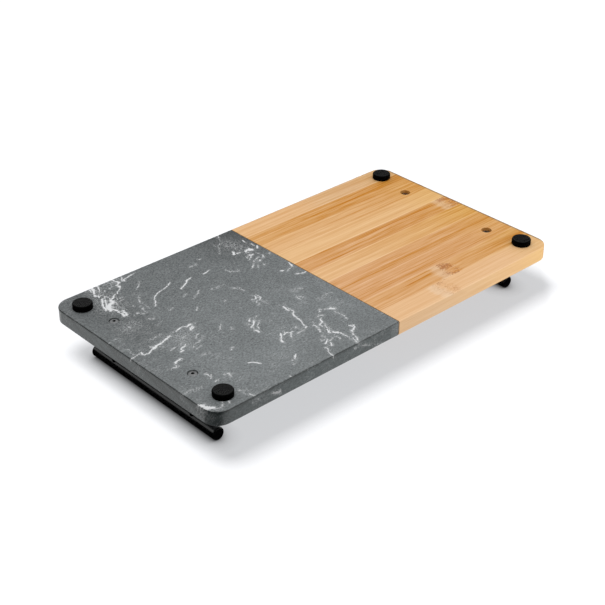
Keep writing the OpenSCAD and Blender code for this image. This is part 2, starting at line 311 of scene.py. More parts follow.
# Tones of the bamboo strips from -Y to +Y: paleness by the joint and at the board's end, then warmth there
STRIP_TONES = (
    (0.79, 0.50, 0.55, 0.46), (0.37, 0.05, 0.66, 0.66), (0.67, 0.20, 0.58, 0.72), (0.91, 0.68, 0.62, 0.72),
    (0.34, 0.05, 0.42, 0.62), (0.81, 0.25, 0.57, 1.00), (0.38, 0.15, 0.32, 0.66), (0.38, 0.26, 0.30, 0.52),
    (0.47, 0.34, 0.45, 0.80), (0.90, 0.87, 0.48, 0.48),
)
# Darker streaks along the grain in millimetres: strength, start x, y, end x, half width
STREAKS = (
    (0.55, 60, -71.6, 184, 1.3), (0.35, 0, -72.8, 60, 1), (0.3, 90, -63, 150, 0.8), (0.3, 68, -65, 80, 0.7),
    (0.3, 80, -37.2, 135, 0.9), (0.45, 50, -14.2, 162, 0.9), (0.25, 0, -12.5, 50, 0.8),
    (0.35, 90, -4.2, 150, 0.9), (0.4, 165, 17.8, 184, 0.6), (0.35, 50, 32.6, 84, 0.8),
    (0.3, 0, 35, 40, 0.7), (0.3, 60, 37.2, 110, 0.8), (0.75, 50, 61.8, 72, 1.5), (0.9, 50, 67, 75, 1.6),
    (0.35, 8, 67.4, 24, 0.7), (0.35, 20, 70.4, 45, 0.8), (0.4, 105, 71.2, 150, 1.1),
    (0.6, 162, 70, 190, 7), (0.25, 10, 43.4, 50, 0.7), (0.25, 85, 54.3, 135, 0.8),
    (0.25, 30, 23, 90, 0.8),
)
# X is squeezed by this while the streaks are drawn, so that they fade slowly along the grain
STREAK_SQUEEZE = 0.12
# Knuckles of the cane: number of the strip and x of the pale band, in millimetres
KNUCKLES = ((5, 167.5), (9, 77.5), (10, 56.0))
# Tones that no setting changes
# The dark tone of the rims' streaks and of the shade painted on them
RIM_STREAKS_AND_SHADE = (0.014, 0.020, 0.020)
DARK_EDGE = (0.02, 0.02, 0.02)
KNUCKLE_PALE, KNUCKLE_WARM, KNUCKLE_DOT = (0.70, 0.50, 0.34), (0.58, 0.25, 0.10), (0.40, 0.17, 0.075)
END_GRAIN, WORN_EDGE = (0.22, 0.105, 0.045), (0.19, 0.12, 0.06)
# From a square corner to the middle of the rounded one, along X plus along Y, in millimetres
CORNER_CUT = 7.6
# Where the painted shade on the stone's corner nearest to the camera starts, as y - 1.4 x in millimetres
NEAR_CORNER_SHADE = (341.8, 344.6)
# The lamp that casts the shadow: the spot on the floor that it hangs over, and its height
LAMP_SPOT = (-0.445, -0.185)
LAMP_HEIGHT = 1.42
# What that lamp adds to a white face below it, and its width
SHADOW_LIGHT, SHADOW_LAMP_WIDTH = 11.5, 0.85
# Where the shadow's tip past the bamboo's far corner fades, as x + y
SHADOW_TIP = (0.277, 0.293)
# How far the contact shadow reaches, and the colour of the floor's own shine under the lamp
CONTACT_REACH = 0.016
FLOOR_SHINE = (0.04, 0.04, 0.0405)
# Direction of a key lamp in X and Y for 1 in height, and the place and target of the side lamp
KEY_SLANT = (-0.20, -0.05)
SIDE_LAMP = (0.32, 0.30, 0.011), (0.165, 0.10, 0.011)
# Half the width of a floor, and the corners of a flat face
FLOOR_REACH = 1.5
SQUARE = ((-1, -1), (1, -1), (1, 1), (-1, 1))


def colour_setting(name, description, default):
    """A colour that a user can change."""
    return FloatVectorProperty(name=name, description=description, default=default, subtype="COLOR",
                               min=0, max=1)


def share_setting(name, description, default):
    """A number from 0 to 1 that a user can change."""
    return FloatProperty(name=name, description=description, default=default, subtype="FACTOR",
                         min=0, max=1)


def length_setting(name, description, default, least=0.0):
    """A length in metres that a user can change."""
    return FloatProperty(name=name, description=description, default=default, unit="LENGTH", min=least,
                         precision=5)


def angle_setting(name, description, degrees):
    """An angle that a user can change."""
    return FloatProperty(name=name, description=description, subtype="ANGLE", default=math.radians(degrees))


def light_setting(name, description, default):
    """The strength of a light that a user can change."""
    return FloatProperty(name=name, description=description, min=0, default=default)


class StoneSettings(bpy.types.PropertyGroup):
    """Looks of the marble."""
    ground: colour_setting("Ground", "Grey of the stone between its veins", (0.165, 0.178, 0.181))
    vein: colour_setting("Vein", "Colour of the brightest veins", (0.80, 0.81, 0.82))
    rim: colour_setting("Rim", "Grey of the smoothed rims", (0.067, 0.0805, 0.082))
    speckle: length_setting("Speckle", "Size of the grain", 0.0011, 0.0001)
    roughness: share_setting("Face roughness", "Roughness of the honed faces", 0.62)
    rim_roughness: share_setting("Rim roughness", "Roughness of the smoothed rims", 0.24)


class BambooSettings(bpy.types.PropertyGroup):
    """Looks of the bamboo strips and of the dowels."""
    pale: colour_setting("Pale", "Palest tone of the bamboo", (0.800, 0.502, 0.266))
    dark: colour_setting("Dark", "Darkest tone of the bamboo", (0.600, 0.272, 0.066))
    glue: length_setting("Glue line", "Width of the line between two strips", 0.0012, 0.00005)
    roughness: share_setting("Roughness", "Roughness of the sanded wood", 0.55)
    beech: colour_setting("Dowel", "Colour of the beech dowels", (0.62, 0.42, 0.25))
    flutes: IntProperty(name="Flutes", description="Number of grooves round a dowel", min=6, default=24)
    flute_depth: length_setting("Flute depth", "Depth of a dowel's grooves", 0.00025)


class MetalSettings(bpy.types.PropertyGroup):
    """Looks of the handles and screws."""
    coat: colour_setting("Coat", "Colour of the powder coat on the handles", (0.0016, 0.0016, 0.0018))
    coat_roughness: share_setting("Coat roughness", "Roughness of the powder coat", 0.20)
    steel: colour_setting("Steel", "Colour of the screws", (0.19, 0.193, 0.196))
    thread_pitch: length_setting("Thread pitch", "From one turn of the thread to the next", 0.0007, 0.0003)
    thread_depth: length_setting("Thread depth", "Depth of the thread", 0.00036, 0.0001)


class RubberSettings(bpy.types.PropertyGroup):
    """Looks of the feet."""
    rubber: colour_setting("Rubber", "Colour of the feet", (0.0004, 0.0004, 0.0004))
    # The flat ends' colour: dust, with painted light that makes them lighter than the sides
    dust_and_painted_light: colour_setting("Dust", "Colour of the dust on the flat ends", (0.0145, 0.0150, 0.0148))
    tape: colour_setting("Tape", "Colour of the adhesive discs", (0.52, 0.51, 0.47))


class StudioSettings(bpy.types.PropertyGroup):
    """Camera, floors and light."""
    azimuth: angle_setting("Camera azimuth", "Direction of the photo's camera round the board", 42.483)
    elevation: angle_setting("Camera elevation", "How far the camera looks down in the photo", 31.386)
    distance: length_setting("Camera distance", "From the camera to the point it looks at", 1.07341)
    aim: FloatVectorProperty(name="Aim", description="Point that the camera looks at", subtype="XYZ",
                             unit="LENGTH", default=(-0.03602, 0.02961, UNDERSIDE), precision=5)
    lens: FloatProperty(name="Lens", description="Focal length in millimetres on a 36 mm sensor",
                        default=81.903)
    sky: light_setting("Surrounding light", "Strength of the even light from all sides", 0.85)
    key: light_setting("Key light", "Light that each key lamp adds to a white face", 0.17)
    fill: light_setting("Side light", "Light that the side lamp adds at the bamboo's end", 0.20)
    width: angle_setting("Lamp width", "How wide a far lamp looks from the board", 35)
    shade: colour_setting("Shadow tone", "Colour of the floor in the cast shadow", (0.605, 0.612, 0.628))


def formula(operation, swapped=False):
    """A method that does one step of a formula."""
    def method(self, other):
        return work(operation, *((other, self) if swapped else (self, other)))
    return method


class Value:
    """What comes out of a node. A formula with values in it adds the nodes that work it out."""
    __add__, __radd__ = formula("ADD"), formula("ADD", True)
    __sub__, __rsub__ = formula("SUBTRACT"), formula("SUBTRACT", True)
    __mul__, __rmul__ = formula("MULTIPLY"), formula("MULTIPLY", True)
    __truediv__, __pow__ = formula("DIVIDE"), formula("POWER")
    __gt__, __lt__ = formula("GREATER_THAN"), formula("LESS_THAN")

    def __init__(self, socket):
        self.socket = socket

    def __abs__(self):
        return work("ABSOLUTE", self)


def add_node(tree, kind, inputs=None, **settings):
    """Adds a node. Each input is given a plain value, or is linked to what comes out of another node."""
    made = tree.nodes.new(kind)
    for name, value in settings.items():
        setattr(made, name, value)
    for key, value in (inputs or {}).items():
        connect(made.inputs[key], value)
    return made


def connect(socket, value):
    """Gives a socket a plain value, or links it to what comes out of another node."""
    if isinstance(value, Value):
        socket.id_data.links.new(value.socket, socket)
    else:
        socket.default_value = value


def put(tree, kind, inputs=None, output=0, **settings):
    """Adds a node and hands back one of its outputs."""
    return Value(add_node(tree, kind, inputs, **settings).outputs[output])


def tree_of(*values):
    """The node tree that the values are in."""
    return next(value.socket.id_data for value in values if isinstance(value, Value))


def is_vector(value):
    """Whether a value or a constant has three numbers."""
    if isinstance(value, Value):
        return value.socket.type in ("VECTOR", "RGBA")
    return not isinstance(value, (int, float))


def work(operation, *values):
    """A number or a vector worked out from numbers and vectors."""
    tree, vectors = tree_of(*values), [is_vector(value) for value in values]
    if not any(vectors):
        return put(tree, "ShaderNodeMath", dict(enumerate(values)), operation=operation)
    if operation == "MULTIPLY" and not all(vectors):
        vector, number = values if vectors[0] else reversed(values)
        return put(tree, "ShaderNodeVectorMath", {0: vector, "Scale": number}, operation="SCALE")
    output = "Value" if operation in ("LENGTH", "DISTANCE", "DOT_PRODUCT") else "Vector"
    return put(tree, "ShaderNodeVectorMath", dict(enumerate(values)), output, operation=operation)


def largest(first, second):
    """The larger of two numbers."""
    return work("MAXIMUM", first, second)


def smallest(first, second):
    """The smaller of two numbers."""
    return work("MINIMUM", first, second)


def ramp(value, low, high, start=0.0, end=1.0, kind="SMOOTHSTEP"):
    """A number that goes from start to end as the value goes from low to high."""
    inputs = {"Value": value, "From Min": low, "From Max": high, "To Min": start, "To Max": end}
    return put(tree_of(value), "ShaderNodeMapRange", inputs, "Result", interpolation_type=kind)


def blend(share, first, second):
    """A number between two numbers."""
    return put(tree_of(share), "ShaderNodeMix", {0: share, 2: first, 3: second}, data_type="FLOAT")


def mix(share, first, second, kind="MIX"):
    """A colour between two colours."""
    first, second = [colour if isinstance(colour, Value) else (*colour, 1.0) for colour in (first, second)]
    return put(tree_of(share, first, second), "ShaderNodeMix", {0: share, 6: first, 7: second}, 2,
               data_type="RGBA", blend_type=kind, clamp_factor=True)


def tinted(colour, factor):
    """A plain colour times a number."""
    return [part * factor for part in colour]


def noise(place, scale=1.0, detail=2.0, roughness=0.5, distortion=0.0, output="Fac"):
    """Smooth noise at a place."""
    inputs = {
        "Vector": place, "Scale": scale, "Detail": detail, "Roughness": roughness, "Distortion": distortion}
    return put(tree_of(place), "ShaderNodeTexNoise", inputs, output, noise_dimensions="3D")


def bump(height, distance, strength=1.0):
    """Surface relief from a height between 0 and 1, distance metres high."""
    inputs = {"Height": height, "Distance": distance, "Strength": strength}
    return put(tree_of(height), "ShaderNodeBump", inputs, "Normal")


def split(vector):
    """The three numbers of a vector."""
    node = add_node(tree_of(vector), "ShaderNodeSeparateXYZ", {0: vector})
    return [Value(socket) for socket in node.outputs]


def join(x=0.0, y=0.0, z=0.0):
    """A vector from three numbers."""
    return put(tree_of(x, y, z), "ShaderNodeCombineXYZ", {0: x, 1: y, 2: z})


def group_inputs(tree):
    """What goes into a node group, by name."""
    return {socket.name: Value(socket) for socket in tree.nodes.new("NodeGroupInput").outputs}


def empty_material(name):
    """A material without nodes."""
    material = bpy.data.materials.new(name)
    material.use_nodes = True
    material.node_tree.nodes.clear()
    return material


def new_material(name):
    """A material and the place on the object in millimetres."""
    material = empty_material(name)
    return material, put(material.node_tree, "ShaderNodeTexCoord", output="Object") * (1 / MM)


def paint(material, **sockets):
    """Ends a material with a shader, whose own sockets are named with _ for a space."""
    shader = add_node(material.node_tree, "ShaderNodeBsdfPrincipled")
    for name, value in sockets.items():
        connect(shader.inputs[name.replace("_", " ").title().replace("Ior", "IOR")], value)
    add_node(material.node_tree, "ShaderNodeOutputMaterial", {"Surface": Value(shader.outputs["BSDF"])})
    return material


def stroke_group():
    """Node group that draws one tapered stroke and keeps the brighter of it and what was drawn so far."""
    group = bpy.data.node_groups.new("tapered_stroke", "ShaderNodeTree")
    for name, kind in (("Place", "Vector"), ("Start", "Vector"), ("Along", "Vector"), ("Back", "Vector"),
                       ("Width", "Float"), ("Taper", "Float"), ("Strength", "Float"), ("So Far", "Float")):
        group.interface.new_socket(name, in_out="INPUT", socket_type="NodeSocket" + kind)
    group.interface.new_socket("Drawn", in_out="OUTPUT", socket_type="NodeSocketFloat")
    given = group_inputs(group)
    offset = given["Place"] - given["Start"]
    share = largest(smallest(work("DOT_PRODUCT", offset, given["Along"]), 1.0), 0.0)
    away = work("LENGTH", given["Back"] * share + offset)
    width = work("MULTIPLY_ADD", share, given["Taper"], given["Width"])
    inside = 1.0 - away / width
    add_node(group, "NodeGroupOutput", {"Drawn": largest(given["So Far"], inside * given["Strength"])})
    return group


def draw_strokes(place, strokes, so_far=-4.0):
    """Draws strokes, each a strength, a start, an end and the half widths there. What comes out is the
    strength on a stroke's middle line, 0 on its outline and less outside."""
    group = stroke_group()
    for strength, start, end, width, end_width in strokes:
        reach = Vector(end) - Vector(start)
        inputs = {"Place": place, "Start": start, "Along": reach / reach.length_squared, "Back": -reach,
                  "Width": width, "Taper": end_width - width, "Strength": strength, "So Far": so_far}
        so_far = put(tree_of(place), "ShaderNodeGroup", inputs, node_tree=group)
    return so_far


def facing(tree, low, high):
    """How level a face is: 0 on the rims and 1 on the flat faces."""
    normal = put(tree, "ShaderNodeNewGeometry", output="Normal")
    return ramp(abs(split(normal)[2]), low, high)


def rim_streaks_and_shade(x, y, depth, corner):
    """How much the stone's rims are darkened: in streaks of the stone's own tone, and by painted shade near
    the underside's edge, along the end and at a corner.
    """
    at_end = ramp(x, 0.8 - END_X, 0.1 - END_X)
    streaks = noise(join(depth * 2.6 + (x - y), 0.0, depth * 0.6), 0.09, 3.0, 0.55)
    # Painted shade: a dark band on the rims within about 3 mm of the underside, deeper towards -X
    under_edge_shade = ramp(depth, 3.4, 1.2) * ramp(x, -10.0, -70.0, 0.04, 0.50)
    # Painted shade along the end rim, deeper from y = -60 mm to 10 mm
    end_rim_shade = smallest(ramp(y, -60.0, 10.0, 0.02, 0.47), ramp(y, 76.0, 84.0, 0.47, 0.36))
    uneven = (streaks - 0.5) * (at_end * 1.2 + 1.3)
    return at_end * end_rim_shade + (uneven + (under_edge_shade + corner))


def face_shade(x, y, cloud):
    """How bright the stone is from place to place, with painted light that brightens it towards +Y. Its
    end, its +Y side and three patches are darker.
    """
    # Painted light: the face gets brighter towards +Y
    shade = (y + 10.0) * 0.0018 + cloud
    shade = shade * ramp(x, -180.0, -140.0, 0.87, 0.99)
    shade = shade * ramp(y, 100.0, 65.0, 0.92, 1.0)
    for by_x, by_y in (
            (ramp(abs(x + 152.0), 26.0, 8.0, 0.0, -0.25), ramp(y, 18.0, -30.0)),
            (ramp(x, -95.0, -60.0, 0.0, -0.08), ramp(y, 45.0, 75.0)),
            (ramp(x, -62.0, -6.0, 0.0, -0.44), ramp(y, -40.0, -78.0))):
        shade = shade * (by_x * by_y + 1.0)
    return shade


def vein_strokes():
    """The veins as strokes in millimetres."""
    strokes = []
    for strength, *line in VEINS:
        points = [[part / 10 for part in point] for point in line]
        for (x, y, width), (end_x, end_y, end_width) in zip(points, points[1:]):
            strokes.append((strength / 100, (x, y, 0), (end_x, end_y, 0), width, end_width))
    return strokes


def marble_material(look):
    """Honed grey stone with crumbly veins, a net of cracks, faint wisps and a fine grain."""
    material, place = new_material("honed_marble")
    tree = material.node_tree
    x, y, z = split(place)
    depth = z - FACE_Z
    slant = join(depth * -0.5 + x, depth * 0.5 + y)
    coarse = noise(place, 0.16, 3.0, 0.6, output="Color")
    fine = noise(place, 0.7, 2.0, 0.55, output="Color")
    wander = (coarse - (0.5, 0.5, 0.5)) * 1.4 + (fine - (0.5, 0.5, 0.5)) * 1.7
    bent = (slant + wander) * (1.0, 1.0, 0.0)
    drawn = draw_strokes(bent, vein_strokes())
    swell = noise(bent, 0.17, 1.0, 0.5) - 0.5
    crumb = noise(bent, 0.62, 3.0, 0.65) - 0.5
    broken = crumb * 2.4 + (swell * 1.2 + drawn)
    vein = ramp(broken, 0.26, 0.66) * ramp(drawn, -0.1, 0.85, 0.32, 0.90)
    cracks = put(tree, "ShaderNodeTexVoronoi", {"Vector": bent, "Scale": 0.42}, feature="DISTANCE_TO_EDGE")
    net = ramp(cracks, 0.10, 0.02) * ramp(crumb * 2.0 + drawn, -0.9, 0.4)
    hazy_part = ramp(largest(-105.0 - x, y), -25.0, 40.0, 0.35, 1.0)
    haze = ramp(noise(place, 0.06, 4.0, 0.6), 0.42, 0.62) * hazy_part
    ridges = abs(noise(bent * (0.10, 0.36, 1.0), 1.0, 4.0, 0.65, 0.6) - 0.5)
    wisp = ramp(ridges, 0.022, 0.0) * haze

    past_x, past_y = split(abs(place) - (END_X, SIDE_Y, 0.0))[:2]
    past_corner = past_x + past_y + CORNER_CUT
    outer = ramp(largest(largest(past_x, past_y), past_corner), -2.4, -1.6)
    level = largest(facing(tree, 0.35, 0.95), 1.0 - outer)
    level = largest(level, ramp(x, -10.0, -6.5, 0.0, 0.55))
    eased = facing(tree, 0.04, 0.35) * facing(tree, 0.985, 0.60) * outer
    # Painted shade on the corner nearest to the camera: it darkens the rim, dims the veins and lowers the
    # gloss there
    corner = ramp(x * -1.4 + y, *NEAR_CORNER_SHADE, 0.0, 0.42)
    ground = mix(level, look.rim, look.ground)
    ground = mix(eased * 0.75, ground, DARK_EDGE)
    # Streaks and painted shade darken the rims
    ground = mix(rim_streaks_and_shade(x, y, depth, corner) - level, ground, RIM_STREAKS_AND_SHADE)
    speckle = noise(place * (0.7, 1.15, 1.15), MM / look.speckle, 2.0, 0.6)
    grain = (speckle - 0.5) * 2.2 + 1.0
    shade = face_shade(x, y, (noise(place, 0.025, 3.0, 0.55) - 0.5) * 0.35 + grain)
    ground = mix(1.0, ground, join(shade, shade, shade), "MULTIPLY")

    white = mix(level, tinted(look.vein, 0.55), look.vein)
    # Painted shade dims the rims' veins at that corner
    corner_vein_shade = (1.0 - level) * (corner * 1.8)
    lit = largest(largest(wisp * 0.26, net * 0.35), vein * (1.0 - corner_vein_shade))
    return paint(
        material, base_color=mix(lit, ground, white),
        roughness=ramp(level, 0.0, 1.0, look.rim_roughness, look.roughness),
        normal=bump(speckle, 0.00003, ramp(level, 0.0, 1.0, 0.15, 0.6)),
        specular_ior_level=ramp(level, 0.0, 1.0, 0.45, 0.15) * (corner * -1.6 + 1.0))


def strip_values(y):
    """The four tones of the strip that a place is in."""
    node = add_node(tree_of(y), "ShaderNodeValToRGB", {0: y * (1 / (STRIP_WIDTH * len(STRIPS))) + 0.5})
    stops = node.color_ramp
    stops.interpolation = "CONSTANT"
    for i, tones in enumerate(STRIP_TONES):
        stop = stops.elements[0] if i == 0 else stops.elements.new(i / len(STRIP_TONES))
        stop.color = tones
    stops.elements.remove(stops.elements[-1])
    return (*split(Value(node.outputs["Color"])), Value(node.outputs["Alpha"]))


def knuckle_bands(place, number):
    """The knuckles' pale bands, the warm bands behind them and the wider bands that hold both."""
    brush = noise(place * (0.03, 1.3, 1.3), 1.0, 3.0, 0.6)
    curve = noise(place, 0.09, 2.0, 0.5)
    shift = (curve - 0.5) * 7.0 + ((brush - 0.5) * 16.0 + split(place)[0])
    band, blush, ripple = 0.0, 0.0, 0.0
    for strip, at in KNUCKLES:
        inside = ramp(abs(number - (strip - 1.0)), 0.6, 0.4)
        along = shift - at
        band = ramp(abs(along), 8.0, 2.0) * inside + band
        blush = ramp(abs(along - 10.0), 8.0, 2.0) * inside + blush
        ripple = ramp(abs(along - 9.0), 11.0, 3.0) * inside + ripple
    return band, blush, ripple


def bamboo_material(look):
    """Laminated bamboo: strips of different tones with fibres, streaks, knuckles and dotted end grain."""
    material, place = new_material("laminated_bamboo")
    tree = material.node_tree
    x, y, z = split(place)
    number = work("FLOOR", y * (1 / STRIP_WIDTH) + len(STRIPS) / 2)
    pale_start, pale_end, warm_start, warm_end = strip_values(y)
    along_board = ramp(x, 0.0, 185.0, kind="LINEAR")
    paleness = blend(along_board, pale_start, pale_end)
    warmth = blend(along_board ** 2.0, warm_start, warm_end)
    band, blush, ripple = knuckle_bands(place, number)
    mild = ramp(paleness, 0.4, 0.9, 1.0, 0.40)
    cluster = noise(place * (0.12, 0.16, 0.16), 1.0, 1.0, 0.5) - 0.5
    dots = cluster * 0.6 + noise(place * (0.55, 0.8, 0.8), 1.0, 2.0, 0.7)
    dots = ramp(dots, 0.51, 0.57) * (ripple * mild)
    blush = blush * mild

    wave = noise(place * (0.22, 0.30, 0.30), 1.0, 2.0, 0.5) - 0.5
    drift = noise(place * (0.012, 0.05, 0.05), 1.0, 2.0, 0.5) - 0.5
    side = y + (drift * 3.0 + wave * (ripple * 7.0))
    deep = number * 31.7 + z

    def fibres(length, width, detail):
        """Fibres of a length and a width in millimetres, brighter or darker than 0."""
        return noise(join(x / length, side / width, deep / width), 1.0, detail, 0.55) - 0.5

    broad, middle, thin = fibres(150.0, 3.4, 3.0), fibres(70.0, 1.1, 3.0), fibres(22.0, 0.42, 2.0)
    grain = thin * 1.3 + (broad * 1.5 + middle * 1.3)
    tone = grain * ramp(paleness, 0.2, 0.9, 1.35, 0.55, "LINEAR") + paleness
    streak = draw_strokes(join(x, side, 0.0) * (STREAK_SQUEEZE, 1.0, 0.0), [
        (strength, (start * STREAK_SQUEEZE, at, 0), (end * STREAK_SQUEEZE, at, 0), width, width)
        for strength, start, at, end, width in STREAKS])
    streak = ramp(middle * 0.5 + streak, 0.0, 0.7)
    edge = abs(work("FRACT", y * (1 / STRIP_WIDTH) + (len(STRIPS) + 1) / 2) - 0.5)
    line = ramp(edge, look.glue / MM / STRIP_WIDTH, look.glue / MM / STRIP_WIDTH / 4)
    for part, amount in ((streak, -0.60), (band, 0.36), (blush, -0.05), (dots, -0.65), (line, 0.30)):
        tone = part * amount + tone

    colour = tone * [pale - dark for pale, dark in zip(look.pale, look.dark)] + look.dark
    blue = (warmth * -0.6 + 1.3) * ramp(x, 128.0, 180.0, 1.0, 0.86)
    colour = colour * join(1.0, 1.0, blue)
    colour = mix(band * 0.35, colour, KNUCKLE_PALE)
    colour = mix(blush * 0.16, colour, KNUCKLE_WARM)
    colour = mix(dots * 0.75, colour, KNUCKLE_DOT)
    # The first strip turns greyer, with less red and green, past x = 60 mm
    greyer_first_strip_end = ramp(number, 0.6, 0.4) * ramp(x, 60.0, 110.0)
    colour = colour * mix(greyer_first_strip_end, (1.0, 1.0, 1.0), (0.93, 0.965, 1.0))
    # Painted shade darkens the rims towards the joint; towards the board's end they turn yellower
    rim = mix(ramp(x, 30.0, 150.0), (0.90, 0.895, 0.88), (1.0, 0.965, 0.83))
    colour = colour * mix(facing(tree, 0.2, 0.7), rim, (1.0, 1.0, 1.0))

    cells = put(tree, "ShaderNodeTexVoronoi", {
        "Vector": join(0.0, y, deep), "Scale": 1.05, "Randomness": 0.85}, "Distance", feature="F1")
    bundle = ramp(cells - ramp(z, FACE_Z, TOP_Z, 0.34, 0.20), 0.06, -0.06)
    end_colour = mix(bundle * 0.65, mix(0.45, colour, look.dark), END_GRAIN)
    at_end = ramp(abs(split(put(tree, "ShaderNodeNewGeometry", output="Normal"))[0]), 0.20, 0.60)
    colour = mix(at_end, colour, end_colour)
    arris = largest(ramp(x, END_X - 3.2, END_X - 1.2), ramp(y, 1.6 - SIDE_Y, 0.4 - SIDE_Y, 0.0, 0.6))
    colour = mix(arris * facing(tree, 0.05, 0.30) * 0.75, colour, WORN_EDGE)
    height = line * -0.3 + (thin * 0.6 + (middle * 0.8 + 0.5))
    return paint(
        material, base_color=colour, normal=bump(height, 0.00006, 0.7), specular_ior_level=0.15,
        roughness=ramp(middle, -0.3, 0.3, look.roughness + 0.08, look.roughness - 0.06))


def beech_material(look):
    """Plain pale wood with fine flecks, for the dowels."""
    material, place = new_material("beech")
    fleck = noise(place * (0.05, 1.6, 1.6), 1.0, 4.0, 0.6)
    colour = mix(ramp(fleck, 0.35, 0.7), tinted(look.beech, 0.78), look.beech)
    return paint(material, base_color=colour, roughness=0.7, normal=bump(fleck, 0.00005),
                 specular_ior_level=0.25)


def coat_material(look):
    """Black powder coat with a fine orange-peel surface. It is duller on the bars' end faces."""
    material, place = new_material("black_powder_coat")
    peel = noise(place, 1.6, 3.0, 0.55)
    patch = noise(place, 0.12, 2.0, 0.5)
    bar_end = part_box("handle_bar_marble")[1].y / MM
    at_end = ramp(abs(split(place)[1]), bar_end - 1.7, bar_end - 0.9)
    return paint(
        material, base_color=mix(ramp(patch, 0.3, 0.7), tinted(look.coat, 0.85), tinted(look.coat, 1.25)),
        roughness=ramp(patch, 0.3, 0.7, look.coat_roughness - 0.04, look.coat_roughness + 0.06),
        normal=bump(peel, 0.00001, 0.4), specular_ior_level=at_end * -0.42 + 0.5)


def steel_material(look):
    """Dull steel for the screws, with painted shade that makes the inside of the hexagon socket near black.
    """
    material, place = new_material("screw_steel")
    grit = noise(place, 3.5, 2.0, 0.6)
    colour = mix(ramp(grit, 0.3, 0.7), tinted(look.steel, 0.8), tinted(look.steel, 1.15))
    # Painted shade inside the hexagon socket
    socket_shade = put(material.node_tree, "ShaderNodeAttribute", output="Fac", attribute_name="socket_shade")
    colour = mix(ramp(socket_shade, 0.0, 0.6), colour, (0.004, 0.004, 0.004))
    return paint(material, base_color=colour, metallic=1.0, roughness=ramp(grit, 0.3, 0.7, 0.38, 0.52),
                 normal=bump(grit, 0.00001, 0.4))


def rubber_material(look):
    """Black rubber, a little dusty on its flat ends, with painted light that makes the flat ends lighter
    than the sides.
    """
    material, place = new_material("black_rubber")
    grit = noise(place, 2.2, 3.0, 0.6)
    wipe = noise(place * (0.25, 0.8, 1.0), 1.0, 3.0, 0.6)
    flat = facing(material.node_tree, 0.90, 0.995)
    # Dust and painted light on the flat ends
    colour = mix(flat * ramp(wipe, 0.2, 0.7, 0.60, 1.0), look.rubber, look.dust_and_painted_light)
    colour = mix(flat * ramp(grit, 0.50, 0.72, 0.0, 0.45), colour, tinted(look.dust_and_painted_light, 1.8))
    return paint(material, base_color=colour, roughness=ramp(grit, 0.3, 0.7, 0.62, 0.78),
                 normal=bump(grit, 0.00002, 0.5), specular_ior_level=ramp(flat, 0.0, 1.0, 0.02, 0.10))


def tape_material(look):
    """Pale adhesive foam under the feet."""
    material, place = new_material("adhesive_foam")
    cells = noise(place, 3.0, 2.0, 0.5)
    colour = mix(ramp(cells, 0.3, 0.7), tinted(look.tape, 0.8), look.tape)
    return paint(material, base_color=colour, roughness=0.8, normal=bump(cells, 0.00003))


def link(item):
    """Puts an object in the scene."""
    bpy.context.scene.collection.objects.link(item)
    return item


def finish(names, material):
    """Gives CAD nodes their material."""
    for name in names:
        frame["nodes"][name].material_slots[0].material = material


def merged_copy(node):
    """A CAD node's mesh as one joined skin, in a new mesh."""
    mesh = bmesh.new()
    mesh.from_mesh(frame["nodes"][node].data)
    bmesh.ops.remove_doubles(mesh, verts=mesh.verts, dist=0.001 * MM)
    made = bpy.data.meshes.new(node + "_skin")
    mesh.to_mesh(made)
    mesh.free()
    return made


def grow(tree, name, inputs, mesh=None):
    """Runs a geometry tree on a mesh with its named inputs and keeps the result as a plain mesh piece."""
    piece = link(bpy.data.objects.new(name, mesh or bpy.data.meshes.new(name)))
    modifier = piece.modifiers.new("grow", "NODES")
    modifier.node_group = tree
    for item in tree.interface.items_tree:
        if item.item_type == "SOCKET" and item.in_out == "INPUT" and item.name in inputs:
            modifier[item.identifier] = inputs[item.name]
    made = bpy.data.meshes.new_from_object(piece.evaluated_get(bpy.context.evaluated_depsgraph_get()))
    piece.modifiers.clear()
    piece.data = made
    made.name = name
    return piece


def geometry_tree(name, inputs):
    """A geometry tree with named inputs, each a name, a kind and a default, and one geometry output."""
    tree = bpy.data.node_groups.new(name, "GeometryNodeTree")
    tree.interface.new_socket("Geometry", in_out="INPUT", socket_type="NodeSocketGeometry")
    for label, kind, default in inputs:
        socket = tree.interface.new_socket(label, in_out="INPUT", socket_type="NodeSocket" + kind)
        if default is not None:
            socket.default_value = default
    tree.interface.new_socket("Geometry", in_out="OUTPUT", socket_type="NodeSocketGeometry")
    return tree, group_inputs(tree)


def close_tree(tree, geometry, material):
    """Ends a geometry tree with plain, painted geometry."""
    real = put(tree, "GeometryNodeRealizeInstances", {"Geometry": geometry})
    painted = put(tree, "GeometryNodeSetMaterial", {"Geometry": real, "Material": material})
    add_node(tree, "NodeGroupOutput", {"Geometry": painted})
    return tree


